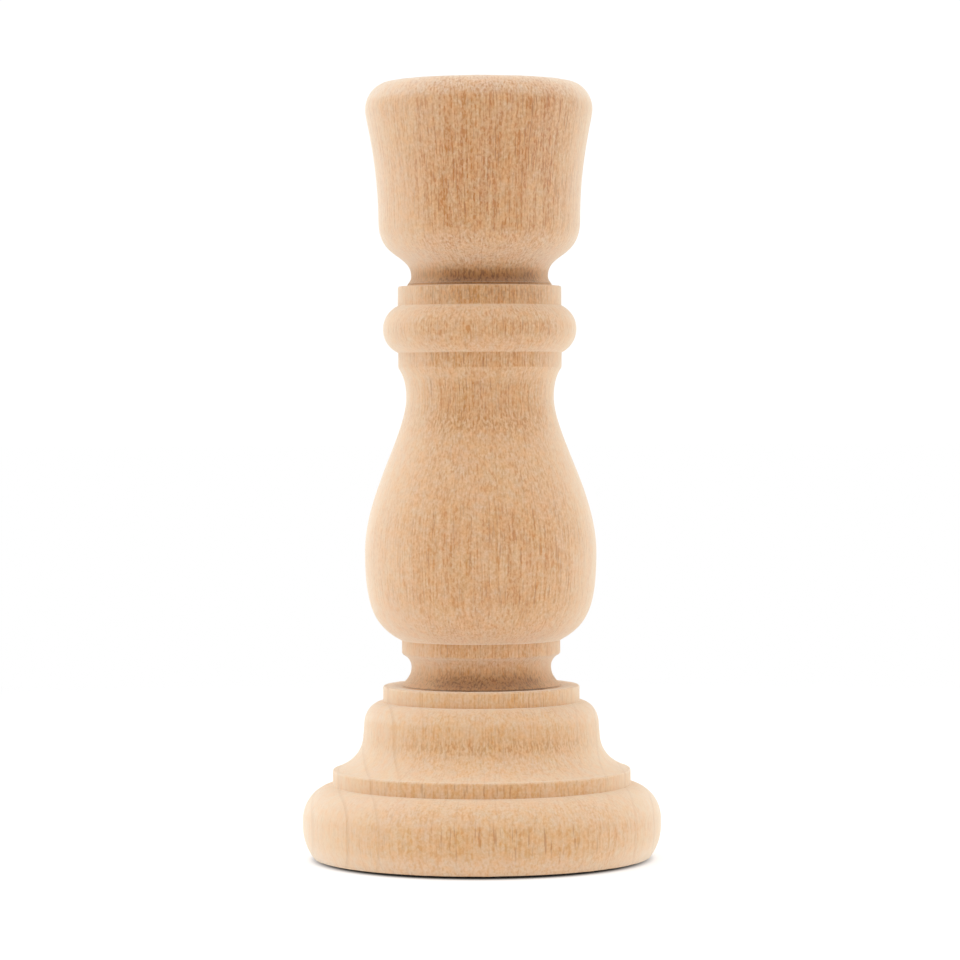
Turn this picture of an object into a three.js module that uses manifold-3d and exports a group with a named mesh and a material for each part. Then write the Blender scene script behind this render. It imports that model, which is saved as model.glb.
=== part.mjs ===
// A turned hardwood candlestick for one taper candle, built from three turnings:
// a stepped base, a baluster stem with a beaded collar, and a flared candle cup.
// The stem's tenon stands in the base and is drawn down by a screw from below; the cup's spigot stands in
// the stem and is held by a screw through the cup floor. A brass liner drops into the bore and lifts out,
// and a felt disc glued in a shallow recess covers the lower screw and is what the piece stands on.
// Units are millimetres, +Z is up, and the origin is the centre of the felt face that meets the table.

import * as THREE from "three";
import { mergeVertices } from "three/addons/utils/BufferGeometryUtils.js";
import Module from "manifold-3d";

// Overall
const overallHeight = 101.6;
const baseRadius = 23.5;
const radialSteps = 40;

// Stepped base: how far the foot and the lower fillet stand in from the widest line, then the radii above
const footStep = 1.35;
const torusStep = 3.95;
const torusCrown = 4.55;
const coveRadius = 15.52;
const shoulderRadius = 15.41;
const ledgeRadius = 12.9;
const edgeRound = 0.28;

// Stepped base: heights, stacked from the table
const torusSwell = 4.4;
const torusLand = 0.95;
const lowerFilletHeight = 2.0;
const coveHeight = 4.54;
const shoulderLand = 1.27;
const shoulderCrown = 3.04;
const ledgeHeight = 2.08;

// Baluster stem: radii
const neckFootRadius = 10.45;
const neckRadius = 9.15;
const footFilletRadius = 10.4;
const vaseRadius = 15.19;
const waistRadius = 9.68;
const collarRadius = 10.72;
const beadRadius = 12.68;
const seamRadius = 9.4;

// Baluster stem: heights; the vase's taper takes what the overall height leaves
const neckLower = 2.42;
const neckUpper = 1.6;
const footFilletHeight = 1.88;
const vaseSwell = 11.55;
const upperFlare = 3.77;
const lowerCollarHeight = 1.94;
const beadHeight = 6.17;
const upperCollarHeight = 2.53;
const collarBevel = 0.3;

// Candle cup: the walls are set out from the bore
const boreRadius = 11.1;
const boreDepth = 16.6;
const bowlWall = 2.12;
const lipWall = 3.77;
const cupNeckRadius = 8.97;
const cupNeckHeight = 1.0;
const bowlHeight = 7.22;
const cupWallHeight = 14.51;
const lipCrown = 3.57;
const lipRound = 3.18;
const rebateWidth = 0.8;
const rebateDepth = 0.55;

// Brass liner
const linerSheet = 0.4;
const linerGap = 0.25;
const linerCorner = 1.2;
const linerFloorGap = 0.6;

// Joinery
const tenonRadius = 6.35;
const tenonLength = 11.5;
const spigotRadius = 4.76;
const spigotLength = 6;
const jointGap = 0.15;
const socketSpare = 0.4;

// Pan-head wood screws, one size at both joints
const shankRadius = 1.9;
const threadRadius = 2.1;
const threadPitch = 1.8;
const threadTurns = 6;
const pointLength = 3;
const screwLength = 20;
const headRadius = 3.9;
const headRim = 0.6;
const headHeight = 2.4;
const crossWidth = 1;
const crossReach = 2.1;
const crossDepth = 1.3;
const screwSteps = 20;
const screwGap = 0.3;
const counterboreSpare = 0.8;
const baseHeadCover = 2;
const cupHeadCover = 0.5;

// Felt disc, in a recess inside the foot's rim
const footRim = 1.0;
const feltThickness = 1.1;
const feltProud = 0.4;
const feltEdge = 0.2;
const feltGap = 0.3;

// How each swept stretch bends: the share of its width and of its height that each end's handle reaches
const coveBend = { leave: [0.69, 0.22], arrive: [0.03, 0.47] };
const neckBend = { leave: [0.38, 0.25], arrive: [0, 0.5] };
const spreadBend = { leave: [0, 0.5], arrive: [0.5, 0.15] };
const vaseSwellBend = { leave: [0.676, 0.15], arrive: [0, 0.67] };
const vaseTaperBend = { leave: [0, 0.375], arrive: [0, 0.245] };
const bowlBend = { leave: [0, 0.414], arrive: [0, 0.695] };
const cupWallBend = { leave: [0, 0.533], arrive: [0, 0.093] };

// Radii worked out from those above
const footRadius = baseRadius - footStep;
const lowerFilletRadius = baseRadius - torusStep;
const recessRadius = footRadius - footRim;
const screwHole = threadRadius + screwGap;
const counterboreRadius = headRadius + counterboreSpare;
const rebateRadius = boreRadius + rebateWidth;

// Levels worked out from the stack
const torusTop = torusSwell + torusLand;
const crownAngle = Math.acos(Math.max(-1, 1 - torusStep / torusCrown));
const filletFoot = torusTop + torusCrown * Math.sin(crownAngle);
const filletTop = filletFoot + lowerFilletHeight;
const coveTop = filletTop + coveHeight;
const shoulderFoot = coveTop + shoulderLand;
const shoulderTop = shoulderFoot + shoulderCrown;
const baseTop = shoulderTop + ledgeHeight;
const neckLevel = baseTop + neckLower;
const neckTop = neckLevel + neckUpper;
const vaseFoot = neckTop + footFilletHeight;
const vaseLevel = vaseFoot + vaseSwell;
const lipLevel = overallHeight - lipCrown;
const bowlTop = lipLevel - cupWallHeight;
const cupNeckLevel = bowlTop - bowlHeight;
const seamLevel = cupNeckLevel - cupNeckHeight;
const upperCollarTop = seamLevel - collarBevel;
const beadTop = upperCollarTop - upperCollarHeight;
const beadFoot = beadTop - beadHeight;
const collarFoot = beadFoot - lowerCollarHeight;
const waistLevel = collarFoot - upperFlare;
const boreFloor = overallHeight - boreDepth;
const baseHeadSeat = feltThickness + headHeight + baseHeadCover;
const cupHeadSeat = boreFloor - headHeight - cupHeadCover;

const at = (radius, level) => new THREE.Vector2(radius, level);

// A cubic curve between two outline points, bent as one of the pairs of handles above says.
function sweep(from, to, bend, steps) {
  const span = to.clone().sub(from);
  const leave = from.clone().add(span.clone().multiply(at(...bend.leave)));
  const arrive = to.clone().sub(span.clone().multiply(at(...bend.arrive)));
  return new THREE.CubicBezierCurve(from, leave, arrive, to).getPoints(steps);
}

// Part of an ellipse in the outline, angles in radians from the outward horizontal.
function arc(radius, level, wide, high, start, end, steps) {
  return new THREE.EllipseCurve(radius, level, wide, high, start, end, end < start).getPoints(steps);
}

// A square-edged band with its upper edge broken.
function band(radius, foot, top) {
  return [at(radius, foot), at(radius, top - edgeRound), at(radius - edgeRound, top)];
}

// The outline's runs joined in order, with repeated points dropped.
function outline(...runs) {
  const points = runs.flat();
  return points.filter((point, i) => i === 0 || point.distanceTo(points[i - 1]) > 1e-4);
}

// Turns an outline that starts and ends on the axis.
function turned(points, steps = radialSteps) {
  return new THREE.LatheGeometry(points, steps).rotateX(Math.PI / 2);
}

// Turns an outline that goes all the way round a hole.
function turnedRing(points) {
  return turned([...points, points[0].clone()]);
}

// The base's widest moulding: a shallow swell up from the foot, then a rounder crown in to the fillet.
function torus() {
  const swellRise = torusSwell - feltProud;
  const swellRadius = (swellRise ** 2 + footStep ** 2) / (2 * footStep);
  const swellAngle = Math.asin(Math.min(1, swellRise / swellRadius));
  return [
    ...arc(baseRadius - swellRadius, torusSwell, swellRadius, swellRadius, -swellAngle, 0, 4),
    ...arc(baseRadius - torusCrown, torusTop, torusCrown, torusCrown, 0, crownAngle, 7),
  ];
}

function steppedBase() {
  const mortiseRadius = tenonRadius + jointGap;
  const mortiseFloor = baseTop - tenonLength - socketSpare;
  return turnedRing(
    outline(
      [at(screwHole, baseHeadSeat), at(counterboreRadius, baseHeadSeat)],
      [at(counterboreRadius, feltThickness), at(recessRadius, feltThickness), at(recessRadius, feltProud)],
      torus(),
      band(lowerFilletRadius, filletFoot, filletTop),
      sweep(at(lowerFilletRadius - edgeRound, filletTop), at(coveRadius, coveTop), coveBend, 6),
      arc(ledgeRadius, shoulderFoot, shoulderRadius - ledgeRadius, shoulderCrown, 0, Math.PI / 2, 6),
      band(ledgeRadius, shoulderTop, baseTop),
      [at(mortiseRadius, baseTop), at(mortiseRadius, mortiseFloor), at(screwHole, mortiseFloor)],
    ),
  );
}

function lowerNeck() {
  return [
    ...sweep(at(neckFootRadius, baseTop), at(neckRadius, neckLevel), neckBend, 3),
    ...sweep(at(neckRadius, neckLevel), at(footFilletRadius - edgeRound, neckTop), spreadBend, 3),
    at(footFilletRadius, neckTop + edgeRound),
    at(footFilletRadius, vaseFoot),
  ];
}

function vase() {
  return [
    ...sweep(at(footFilletRadius, vaseFoot), at(vaseRadius, vaseLevel), vaseSwellBend, 7),
    ...sweep(at(vaseRadius, vaseLevel), at(waistRadius, waistLevel), vaseTaperBend, 9),
    ...sweep(at(waistRadius, waistLevel), at(collarRadius, collarFoot), spreadBend, 4),
  ];
}

function beadedCollar() {
  const beadRise = beadHeight / 2;
  const beadStep = beadRadius - collarRadius;
  const beadArc = (beadStep ** 2 + beadRise ** 2) / (2 * beadStep);
  const beadAngle = Math.asin(Math.min(1, beadRise / beadArc));
  return [
    at(collarRadius, beadFoot),
    ...arc(beadRadius - beadArc, beadFoot + beadRise, beadArc, beadArc, -beadAngle, beadAngle, 7),
    ...band(collarRadius, beadTop, upperCollarTop),
    at(seamRadius, seamLevel),
  ];
}

function balusterStem() {
  const tenonFoot = baseTop - tenonLength;
  const basePilotEnd = baseHeadSeat + screwLength + socketSpare;
  const socketRadius = spigotRadius + jointGap;
  const socketFloor = seamLevel - spigotLength - socketSpare;
  const cupPilotEnd = cupHeadSeat - screwLength - socketSpare;
  return turned(
    outline(
      [at(0, basePilotEnd + screwHole / 2), at(screwHole, basePilotEnd), at(screwHole, tenonFoot)],
      [at(tenonRadius - edgeRound, tenonFoot), at(tenonRadius, tenonFoot + edgeRound)],
      [at(tenonRadius, baseTop)],
      lowerNeck(),
      vase(),
      beadedCollar(),
      [at(socketRadius, seamLevel), at(socketRadius, socketFloor), at(screwHole, socketFloor)],
      [at(screwHole, cupPilotEnd), at(0, cupPilotEnd - screwHole / 2)],
    ),
  );
}

function candleCup() {
  const bowlRadius = boreRadius + bowlWall;
  const lipRadius = boreRadius + lipWall;
  const spigotFoot = seamLevel - spigotLength;
  const lip = arc(lipRadius - lipRound, lipLevel, lipRound, lipCrown, 0, Math.PI / 2, 7);
  return turnedRing(
    outline(
      [at(screwHole, spigotFoot), at(spigotRadius - edgeRound, spigotFoot)],
      [at(spigotRadius, spigotFoot + edgeRound), at(spigotRadius, seamLevel)],
      sweep(at(seamRadius, seamLevel), at(cupNeckRadius, cupNeckLevel), neckBend, 3),
      sweep(at(cupNeckRadius, cupNeckLevel), at(bowlRadius, bowlTop), bowlBend, 9),
      sweep(at(bowlRadius, bowlTop), at(lipRadius, lipLevel), cupWallBend, 6),
      lip.filter((point) => point.x > rebateRadius + edgeRound),
      [at(rebateRadius, overallHeight), at(rebateRadius, overallHeight - rebateDepth)],
      [at(boreRadius, overallHeight - rebateDepth), at(boreRadius, boreFloor)],
      [at(counterboreRadius, boreFloor), at(counterboreRadius, cupHeadSeat), at(screwHole, cupHeadSeat)],
    ),
  );
}

function cupLiner() {
  const outer = boreRadius - linerGap;
  const inner = outer - linerSheet;
  const floor = boreFloor + linerFloorGap;
  const flangeFoot = overallHeight - rebateDepth;
  const flangeTop = flangeFoot + linerSheet;
  const flangeRadius = rebateRadius - linerGap;
  const insideCorner = linerCorner - linerSheet;
  const turn = Math.PI / 2;
  return turned(
    outline(
      [at(0, floor)],
      arc(outer - linerCorner, floor + linerCorner, linerCorner, linerCorner, -turn, 0, 4),
      [at(outer, flangeFoot), at(flangeRadius, flangeFoot)],
      [at(flangeRadius, flangeTop), at(inner, flangeTop)],
      arc(outer - linerCorner, floor + linerCorner, insideCorner, insideCorner, 0, -turn, 4),
      [at(0, floor + linerSheet)],
    ),
  );
}

function feltPad() {
  const radius = recessRadius - feltGap;
  return turned(
    outline(
      [at(0, 0), at(radius - feltEdge, 0), at(radius, feltEdge)],
      [at(radius, feltThickness - feltEdge), at(radius - feltEdge, feltThickness)],
      [at(0, feltThickness)],
    ),
  );
}

// manifold-3d is used only to cut the driver cross into the screw heads.
const wasm = await Module();
wasm.setup();

function toSolid(geometry) {
  const bare = geometry.index ? geometry.toNonIndexed() : geometry.clone();
  bare.deleteAttribute("normal");
  bare.deleteAttribute("uv");
  const merged = mergeVertices(bare, 1e-3);
  return new wasm.Manifold(
    new wasm.Mesh({
      numProp: 3,
      vertProperties: merged.attributes.position.array,
      triVerts: new Uint32Array(merged.index.array),
    }),
  );
}

function toGeometry(solid) {
  const mesh = solid.getMesh();
  const geometry = new THREE.BufferGeometry();
  geometry.setAttribute("position", new THREE.BufferAttribute(mesh.vertProperties, 3));
  geometry.setIndex(new THREE.BufferAttribute(mesh.triVerts, 1));
  return geometry;
}

// A plus-shaped pocket that opens through the top of the head.
function driverCross() {
  const half = crossWidth / 2;
  const corners = [];
  for (let quarter = 0; quarter < 4; quarter++) {
    const around = (x, y) => at(x, y).rotateAround(at(0, 0), (quarter * Math.PI) / 2);
    corners.push(around(crossReach, -half), around(crossReach, half), around(half, half));
  }
  const prism = { depth: headHeight, bevelEnabled: false };
  const cross = new THREE.ExtrudeGeometry(new THREE.Shape(corners), prism);
  return cross.translate(0, 0, headHeight - crossDepth);
}

// A screw standing on its seat at z = 0, head up and point down, with each turn of thread as a ridge.
function panHeadScrew() {
  const threadFoot = pointLength - screwLength;
  const ridges = [];
  for (let turn = 0; turn < threadTurns; turn++) {
    const level = threadFoot + turn * threadPitch;
    ridges.push(at(shankRadius, level));
    ridges.push(at(threadRadius, level + threadPitch / 5));
    ridges.push(at(shankRadius, level + threadPitch / 2));
  }
  const shaft = turned(
    outline(
      [at(0, -screwLength), at(shankRadius * 0.6, threadFoot - pointLength * 0.4)],
      ridges,
      [at(shankRadius, 0), at(headRadius, 0), at(headRadius, headRim)],
      arc(0, headRim, headRadius, headHeight - headRim, 0, Math.PI / 2, 5),
    ),
    screwSteps,
  );
  return toGeometry(toSolid(shaft).subtract(toSolid(driverCross())));
}

const bareWood = new THREE.MeshStandardMaterial({ color: 0xdfba90, roughness: 0.78, metalness: 0 });
const brass = new THREE.MeshStandardMaterial({ color: 0xc9a14f, roughness: 0.3, metalness: 1 });
const zincSteel = new THREE.MeshStandardMaterial({ color: 0xb9bcc0, roughness: 0.38, metalness: 1 });
const felt = new THREE.MeshStandardMaterial({ color: 0x35302c, roughness: 1, metalness: 0 });

function piece(name, geometry, material) {
  const mesh = new THREE.Mesh(geometry, material);
  mesh.name = name;
  return mesh;
}

const candlestick = new THREE.Group();
candlestick.add(piece("stepped_base", steppedBase(), bareWood));
candlestick.add(piece("baluster_stem", balusterStem(), bareWood));
candlestick.add(piece("candle_cup", candleCup(), bareWood));
candlestick.add(piece("cup_liner", cupLiner(), brass));
candlestick.add(piece("felt_pad", feltPad(), felt));

const cupScrew = piece("cup_screw", panHeadScrew(), zincSteel);
cupScrew.position.z = cupHeadSeat;
candlestick.add(cupScrew);

// The same screw driven upwards from under the base.
const baseScrew = piece("base_screw", panHeadScrew(), zincSteel);
baseScrew.rotation.x = Math.PI;
baseScrew.position.z = baseHeadSeat;
candlestick.add(baseScrew);

export default candlestick;
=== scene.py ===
import math
import bmesh
import bpy
from mathutils import Matrix, Vector, geometry, noise


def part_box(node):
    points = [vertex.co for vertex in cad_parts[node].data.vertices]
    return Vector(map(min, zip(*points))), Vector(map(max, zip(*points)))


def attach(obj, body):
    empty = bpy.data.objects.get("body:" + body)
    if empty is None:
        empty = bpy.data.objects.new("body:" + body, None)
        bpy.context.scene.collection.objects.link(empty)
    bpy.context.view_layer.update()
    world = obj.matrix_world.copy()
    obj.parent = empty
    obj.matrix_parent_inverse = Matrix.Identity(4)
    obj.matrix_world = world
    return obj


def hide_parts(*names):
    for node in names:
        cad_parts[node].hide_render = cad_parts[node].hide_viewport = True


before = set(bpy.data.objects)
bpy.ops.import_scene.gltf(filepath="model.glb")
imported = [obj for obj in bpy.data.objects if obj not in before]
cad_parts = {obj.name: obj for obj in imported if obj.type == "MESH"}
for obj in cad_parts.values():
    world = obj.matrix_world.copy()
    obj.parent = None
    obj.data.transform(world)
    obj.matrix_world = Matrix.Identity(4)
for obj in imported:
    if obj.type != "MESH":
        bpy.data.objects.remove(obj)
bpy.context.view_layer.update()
print("frame loaded, nodes:", ", ".join(sorted(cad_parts)))

mm = 0.001
quarterTurn = math.pi / 2


# outlines below are lists of (radius, level, softness) in mm, and are turned about Z later
def corner(radius, level, soft=0.0):
    return (radius, level, soft)


def arcRun(radius, level, wide, high, start, end, steps):
    run = []
    for i in range(steps + 1):
        angle = start + (end - start) * i / steps
        run.append(corner(radius + wide * math.cos(angle), level + high * math.sin(angle)))
    return run


def sweepRun(start, end, leave, arrive, steps):  # leave and arrive are shares of the run's width and height
    wide, high = end[0] - start[0], end[1] - start[1]
    a = Vector((start[0], start[1]))
    b = Vector((start[0] + leave[0] * wide, start[1] + leave[1] * high))
    c = Vector((end[0] - arrive[0] * wide, end[1] - arrive[1] * high))
    d = Vector((end[0], end[1]))
    run = [corner(p.x, p.y) for p in geometry.interpolate_bezier(a, b, c, d, steps + 1)]
    run[0] = start
    run[-1] = end
    return run


def joinRuns(*runs):  # one list, without the points where two runs meet twice
    points = []
    for point in (p for run in runs for p in run):
        if not points or math.dist(point[:2], points[-1][:2]) > 1e-4:
            points.append(point)
    return points


def turnOutline(points, closed, steps, fineness):
    shape = bmesh.new()
    verts = [shape.verts.new((radius * mm, 0, level * mm)) for radius, level, soft in points]
    for first, second in zip(verts, verts[1:] + verts[:1]):
        if closed or second is not verts[0]:
            shape.edges.new((first, second))
    for soft in sorted({point[2] for point in points if point[2]}):
        rounded = [v for v, point in zip(verts, points) if point[2] == soft]
        bmesh.ops.bevel(
            shape, geom=rounded, offset=soft * mm, affect="VERTICES", segments=4, profile=0.5, material=-1,
        )
    for edge in shape.edges[:]:
        cuts = int(edge.calc_length() / (fineness * mm))
        if cuts:
            bmesh.ops.subdivide_edges(shape, edges=[edge], cuts=cuts)
    bmesh.ops.spin(
        shape, geom=shape.verts[:] + shape.edges[:], cent=(0, 0, 0), axis=(0, 0, 1),
        angle=math.tau, steps=steps, use_merge=True,
    )
    bmesh.ops.remove_doubles(shape, verts=shape.verts[:], dist=1e-7)
    bmesh.ops.recalc_face_normals(shape, faces=shape.faces[:])
    return shape


def finishPiece(name, shape, body, node, material, creaseAngle=32):
    for face in shape.faces:
        face.smooth = True
    for edge in shape.edges:
        edge.smooth = edge.calc_face_angle(0) < math.radians(creaseAngle)
    mesh = bpy.data.meshes.new(name)
    shape.to_mesh(mesh)
    shape.free()
    piece = bpy.data.objects.new(name, mesh)
    bpy.context.scene.collection.objects.link(piece)
    mesh.materials.append(material)
    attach(piece, body)
    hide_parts(node)
    print(name, "made,", len(mesh.polygons), "faces")
    return piece


sanding = {"dipSize": 1.6, "dipLength": 0.35}  # dips are longer up the piece than across it


def sandUneven(shape, depth, grain):  # hand sanding leaves the surface a few hundredths low in places
    shape.normal_update()
    moved = []
    for v in shape.verts:
        if abs(v.co.z - joints["seam"] * mm) < joints["kept"] * mm:  # the joint above the collar stays tight
            continue
        spot = Vector((v.co.x, v.co.y, v.co.z * sanding["dipLength"])) / (grain * mm)
        low = 0.5 + 0.5 * noise.noise(spot)
        moved.append((v, v.co - v.normal * depth * mm * low))
    for v, place in moved:
        v.co = place


def addNode(tree, kind, inputs=None, **settings):
    node = tree.nodes.new("ShaderNode" + kind)
    for key, value in settings.items():
        setattr(node, key, value)
    for key, value in (inputs or {}).items():
        if isinstance(value, bpy.types.NodeSocket):
            tree.links.new(value, node.inputs[key])
        else:
            node.inputs[key].default_value = value
    return node


def addMath(tree, operation, a, b=0.0, clamp=False):
    node = addNode(tree, "Math", {0: a, 1: b}, operation=operation, use_clamp=clamp)
    return node.outputs[0]


def addRange(tree, value, low, high, toLow=0.0, toHigh=1.0):
    node = addNode(
        tree, "MapRange", {0: value, 1: low, 2: high, 3: toLow, 4: toHigh}, interpolation_type="SMOOTHSTEP",
    )
    return node.outputs[0]


def addMix(tree, amount, first, second, blend="MIX"):
    node = addNode(tree, "Mix", data_type="RGBA", blend_type=blend, clamp_factor=True)
    for socket, value in ((0, amount), (6, first), (7, second)):
        if isinstance(value, bpy.types.NodeSocket):
            tree.links.new(value, node.inputs[socket])
        else:
            node.inputs[socket].default_value = value
    return node.outputs[2]


def startMaterial(name):
    material = bpy.data.materials.new(name)
    material.use_nodes = True
    tree = material.node_tree
    return material, tree, tree.nodes["Principled BSDF"], addNode(tree, "TexCoord").outputs


def addRelief(tree, surface, height, strength, depth):  # depth in mm
    bump = addNode(tree, "Bump", {"Height": height, "Strength": strength, "Distance": depth * mm})
    tree.links.new(bump.outputs[0], surface.inputs["Normal"])


def startGroup(name, inputs, outputs):
    group = bpy.data.node_groups.new(name, "ShaderNodeTree")
    for label, value in inputs.items():
        kind = "NodeSocketVector" if value is None else "NodeSocketFloat"
        socket = group.interface.new_socket(label, in_out="INPUT", socket_type=kind)
        if value is not None:
            socket.default_value = value
    for label in outputs:
        group.interface.new_socket(label, in_out="OUTPUT", socket_type="NodeSocketFloat")
    return group, group.nodes.new("NodeGroupInput").outputs, group.nodes.new("NodeGroupOutput").inputs


def placeGroup(tree, group, inputs):
    node = tree.nodes.new("ShaderNodeGroup")
    node.node_tree = group
    for key, value in inputs.items():
        if isinstance(value, bpy.types.NodeSocket):
            tree.links.new(value, node.inputs[key])
        else:
            node.inputs[key].default_value = value
    return node.outputs


# fibres and vessels, width and length in mm; Follow 1 keeps a line whole on a flared face
def grainStreaksGroup():
    middle = 13.0  # radius in mm at which a followed line has its stated width
    barest, fullest = 0.72, 0.44  # noise threshold at no cover, and how far full cover lowers it
    group, given, out = startGroup(
        "grainStreaks", {
            "Vector": None, "Width": 0.2, "Length": 6.0, "Cover": 0.3, "Softness": 0.1,
            "Detail": 2.0, "Follow": 0.0,
        }, ["Mask"],
    )
    inMm = addNode(group, "VectorMath", {0: given["Vector"], 3: 1 / mm}, operation="SCALE").outputs[0]
    upright = addNode(group, "SeparateXYZ", {0: inMm}).outputs["Z"]
    level = addNode(group, "CombineXYZ", {2: upright}).outputs[0]
    spoke = addNode(group, "VectorMath", {0: inMm, 1: level}, operation="SUBTRACT").outputs[0]
    spoke = addNode(group, "VectorMath", {0: spoke}, operation="NORMALIZE").outputs[0]
    wrapped = addNode(group, "VectorMath", {0: spoke, 3: middle}, operation="SCALE").outputs[0]
    wrapped = addNode(group, "VectorMath", {0: wrapped, 1: level}, operation="ADD").outputs[0]
    followed = addNode(group, "Mix", data_type="VECTOR", factor_mode="UNIFORM")
    for socket, value in ((0, given["Follow"]), (4, inMm), (5, wrapped)):
        group.links.new(value, followed.inputs[socket])
    across = addMath(group, "DIVIDE", 1.0, given["Width"])
    along = addMath(group, "DIVIDE", 1.0, given["Length"])
    stretch = addNode(group, "CombineXYZ", {0: across, 1: across, 2: along}).outputs[0]
    drawn = addNode(group, "VectorMath", {0: followed.outputs[1], 1: stretch}, operation="MULTIPLY")
    fibre = addNode(
        group, "TexNoise",
        {"Vector": drawn.outputs[0], "Scale": 1.0, "Detail": given["Detail"], "Roughness": 0.55},
    ).outputs["Fac"]
    threshold = addMath(group, "SUBTRACT", barest, addMath(group, "MULTIPLY", given["Cover"], fullest))
    low = addMath(group, "SUBTRACT", threshold, given["Softness"])
    high = addMath(group, "ADD", threshold, given["Softness"])
    group.links.new(addRange(group, fibre, low, high), out["Mask"])
    return group


def growthRingsGroup():  # rings round a pith that stands well outside the piece
    group, given, out = startGroup(
        "growthRings", {"Vector": None, "Pith X": 100.0, "Pith Y": 4.0, "Spacing": 3.0, "Wobble": 0.8},
        ["Line"],
    )
    lateWood, earlyWood = (0.87, 0.985), (0.0, 0.035)  # shares of a year's growth
    pith = addNode(group, "CombineXYZ", {0: given["Pith X"], 1: given["Pith Y"]}).outputs[0]
    inMm = addNode(group, "VectorMath", {0: given["Vector"], 3: 1 / mm}, operation="SCALE").outputs[0]
    fromPith = addNode(group, "VectorMath", {0: inMm, 1: pith}, operation="SUBTRACT").outputs[0]
    level = addNode(group, "VectorMath", {0: fromPith, 1: (1, 1, 0)}, operation="MULTIPLY").outputs[0]
    far = addNode(group, "VectorMath", {0: level}, operation="LENGTH").outputs["Value"]
    slow = addNode(group, "VectorMath", {0: inMm, 1: (1, 1, 0.25)}, operation="MULTIPLY").outputs[0]
    drift = addNode(group, "TexNoise", {"Vector": slow, "Scale": 0.06, "Detail": 1.0}).outputs["Fac"]
    sway = addMath(group, "MULTIPLY", addMath(group, "SUBTRACT", drift, 0.5), given["Wobble"])
    year = addMath(group, "DIVIDE", addMath(group, "ADD", far, sway), given["Spacing"])
    season = addMath(group, "FRACT", year)
    late = addRange(group, season, *lateWood)
    early = addRange(group, season, *earlyWood, 1.0, 0.0)
    group.links.new(addMath(group, "MAXIMUM", addMath(group, "MULTIPLY", late, 0.75), early), out["Line"])
    return group


def cloudGroup():  # soft patches, size in mm
    group, given, out = startGroup("cloud", {"Vector": None, "Size": 8.0, "Contrast": 1.0}, ["Mask"])
    scale = addMath(group, "DIVIDE", 1 / mm, given["Size"])
    patch = addNode(group, "TexNoise", {"Vector": given["Vector"], "Scale": scale, "Detail": 3.0})
    centred = addMath(group, "SUBTRACT", patch.outputs["Fac"], 0.5)
    spread = addMath(group, "MULTIPLY", centred, given["Contrast"])
    group.links.new(addMath(group, "ADD", spread, 0.5, True), out["Mask"])
    return group


def cutDirectionGroup():  # how the lathe cut meets the upright fibres, from the surface's own slope; Up and Under also place painted light
    group, given, out = startGroup(
        "cutDirection", {"Normal": None, "Start": 0.12, "Full": 0.42}, ["Flank", "Up", "Under"],
    )
    slope = addNode(group, "SeparateXYZ", {0: given["Normal"]}).outputs["Z"]
    drop = addMath(group, "MULTIPLY", slope, -1.0)
    steep = addMath(group, "ABSOLUTE", slope)
    group.links.new(addRange(group, steep, given["Start"], given["Full"], 1.0, 0.0), out["Flank"])
    group.links.new(addRange(group, slope, given["Start"], given["Full"]), out["Up"])
    group.links.new(addRange(group, drop, given["Start"], given["Full"]), out["Under"])
    return group


# 1 on the two sides where the board's open grain comes out, 0 on its quartered sides, which face along Edge
def openFaceGroup():
    openAt, quarteredAt = 0.4, 0.98  # how squarely a side faces along Edge
    group, given, out = startGroup("openFace", {"Vector": None, "Edge": None}, ["Mask"])
    level = addNode(group, "VectorMath", {0: given["Vector"], 1: (1, 1, 0)}, operation="MULTIPLY").outputs[0]
    spoke = addNode(group, "VectorMath", {0: level}, operation="NORMALIZE").outputs[0]
    toEdge = addNode(group, "VectorMath", {0: spoke, 1: given["Edge"]}, operation="DOT_PRODUCT")
    facing = addMath(group, "ABSOLUTE", toEdge.outputs["Value"])
    group.links.new(addRange(group, facing, openAt, quarteredAt, 1.0, 0.0), out["Mask"])
    return group


# 1 at one inside corner and 0 past its reach, for the painted shade, painted warm bounce light and torn
# grain there; sizes in mm
def grooveGroup():
    group, given, out = startGroup(
        "groove", {"Vector": None, "Radius": 9.0, "Level": 0.0, "Reach": 2.0}, ["Mask"],
    )
    inMm = addNode(group, "VectorMath", {0: given["Vector"], 3: 1 / mm}, operation="SCALE").outputs[0]
    level = addNode(group, "VectorMath", {0: inMm, 1: (1, 1, 0)}, operation="MULTIPLY").outputs[0]
    far = addNode(group, "VectorMath", {0: level}, operation="LENGTH").outputs["Value"]
    height = addNode(group, "SeparateXYZ", {0: inMm}).outputs["Z"]
    beyond = addMath(group, "SUBTRACT", far, given["Radius"])
    up = addMath(group, "SUBTRACT", height, given["Level"])
    offset = addNode(group, "CombineXYZ", {0: beyond, 1: up}).outputs[0]
    away = addNode(group, "VectorMath", {0: offset}, operation="LENGTH").outputs["Value"]
    near = addMath(group, "DIVIDE", away, given["Reach"])
    group.links.new(addRange(group, near, 0.0, 1.0, 1.0, 0.0), out["Mask"])
    return group


grainStreaks = grainStreaksGroup()
growthRings = growthRingsGroup()
cloud = cloudGroup()
cutDirection = cutDirectionGroup()
openFace = openFaceGroup()
groove = grooveGroup()

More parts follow.
